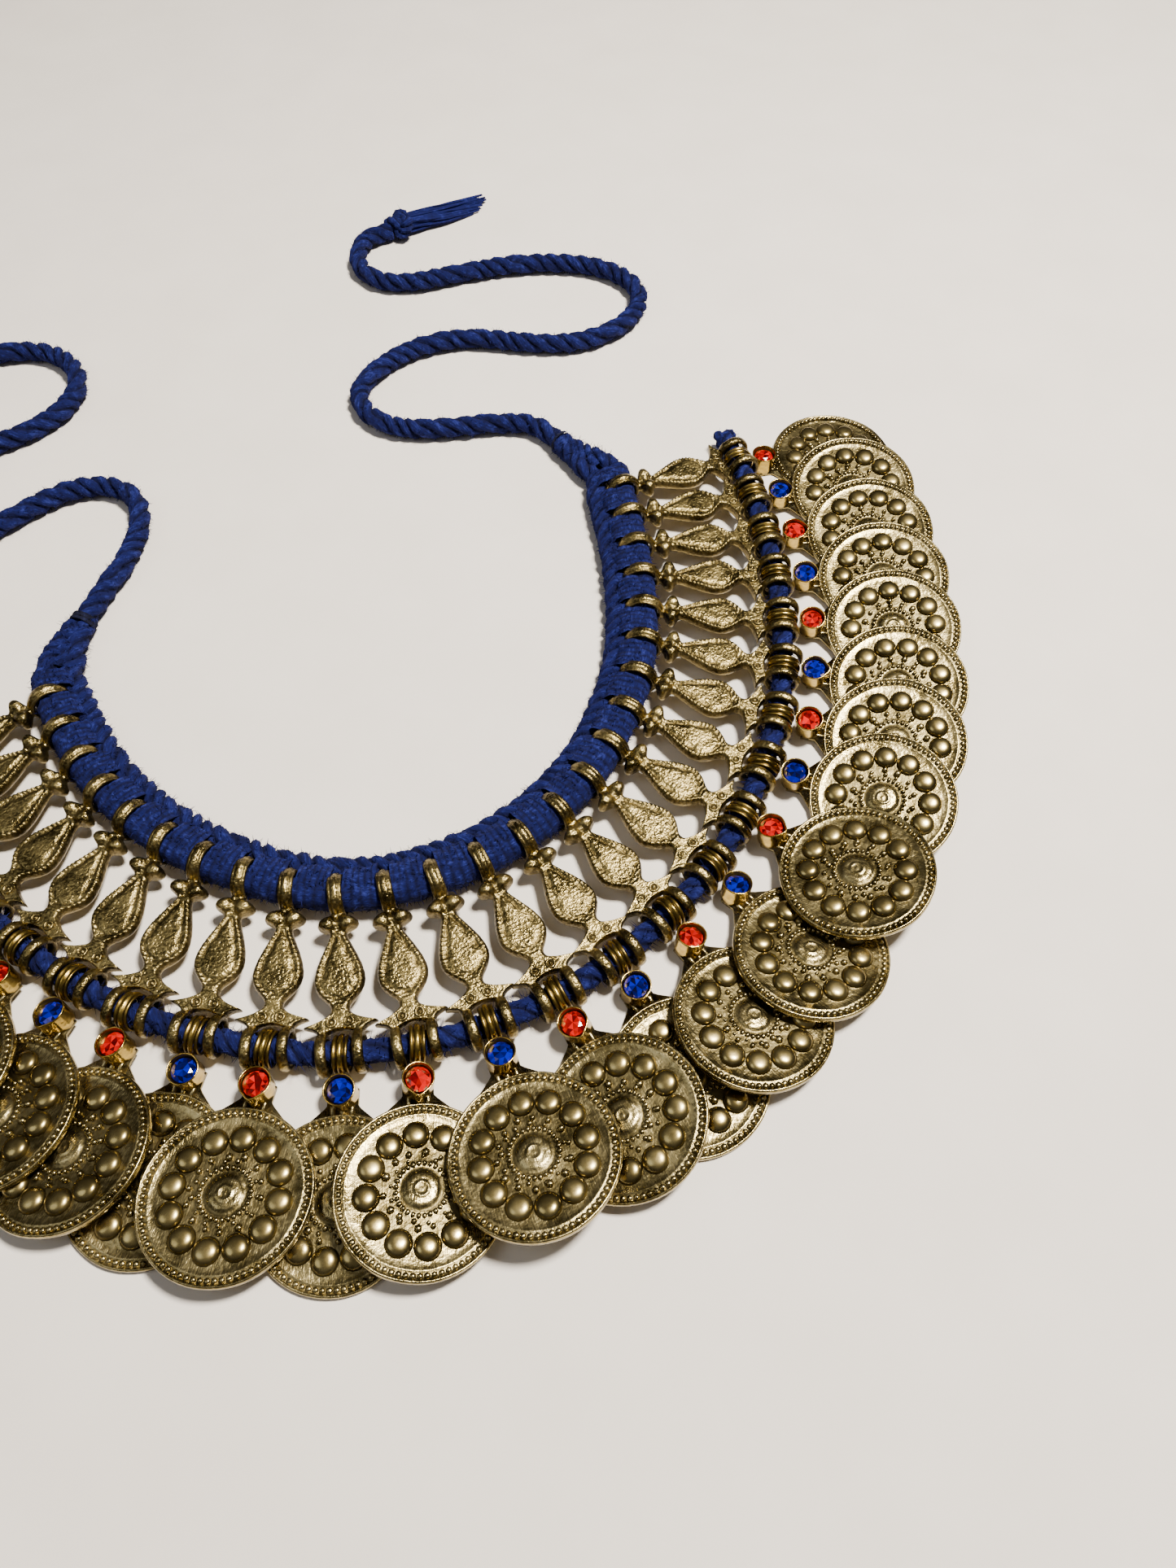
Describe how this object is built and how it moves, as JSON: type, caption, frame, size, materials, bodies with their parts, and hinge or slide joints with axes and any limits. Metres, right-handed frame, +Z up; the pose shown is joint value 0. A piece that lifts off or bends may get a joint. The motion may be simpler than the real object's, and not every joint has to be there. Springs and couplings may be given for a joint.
{
  "type": "bib necklace",
  "caption": "Bib necklace of cast brass bars on a blue cotton collar, with stone-set coin drops on a hem cord and two tie ropes, lying open.",
  "frame": {"origin": "middle of the bib's footprint, on the surface that it lies on; the loose ties and tassels are left out of the count", "axes": "+Z up from the surface, +X along the width of the bib, -Y from the neck towards the hem of coins"},
  "size_m": [0.2154, 0.2083, 0.0073],
  "materials": {
    "cast_brass": "antiqued sand-cast brass",
    "coin_brass": "darkened satin cast brass with red and blue cut stones",
    "cotton": "twisted blue cotton"
  },
  "bodies": {
    "root": {"bar_01": "cast_brass", "bar_02": "cast_brass", "bar_03": "cast_brass", "bar_04": "cast_brass", "bar_05": "cast_brass", "bar_06": "cast_brass", "bar_07": "cast_brass", "bar_08": "cast_brass", "bar_09": "cast_brass", "bar_10": "cast_brass", "bar_11": "cast_brass", "bar_12": "cast_brass", "bar_13": "cast_brass", "bar_14": "cast_brass", "bar_15": "cast_brass", "bar_16": "cast_brass", "bar_17": "cast_brass", "bar_18": "cast_brass", "bar_19": "cast_brass", "bar_20": "cast_brass", "bar_21": "cast_brass", "bar_22": "cast_brass", "bar_23": "cast_brass", "bar_24": "cast_brass", "bar_25": "cast_brass", "drop_01": "coin_brass", "drop_02": "coin_brass", "drop_03": "coin_brass", "drop_04": "coin_brass", "drop_05": "coin_brass", "drop_06": "coin_brass", "drop_07": "coin_brass", "drop_08": "coin_brass", "drop_09": "coin_brass", "drop_10": "coin_brass", "drop_11": "coin_brass", "drop_12": "coin_brass", "drop_13": "coin_brass", "drop_14": "coin_brass", "drop_15": "coin_brass", "drop_16": "coin_brass", "drop_17": "coin_brass", "drop_18": "coin_brass", "drop_19": "coin_brass", "drop_20": "coin_brass", "drop_21": "coin_brass", "drop_22": "coin_brass", "drop_23": "coin_brass", "drop_24": "coin_brass", "drop_25": "coin_brass", "collar_cord": "cotton", "collar_braid": "cotton", "hem_cord": "cotton", "tie_right": "cotton", "tie_left": "cotton", "tassel_right": "cotton", "tassel_left": "cotton"}
  },
  "joints": []
}
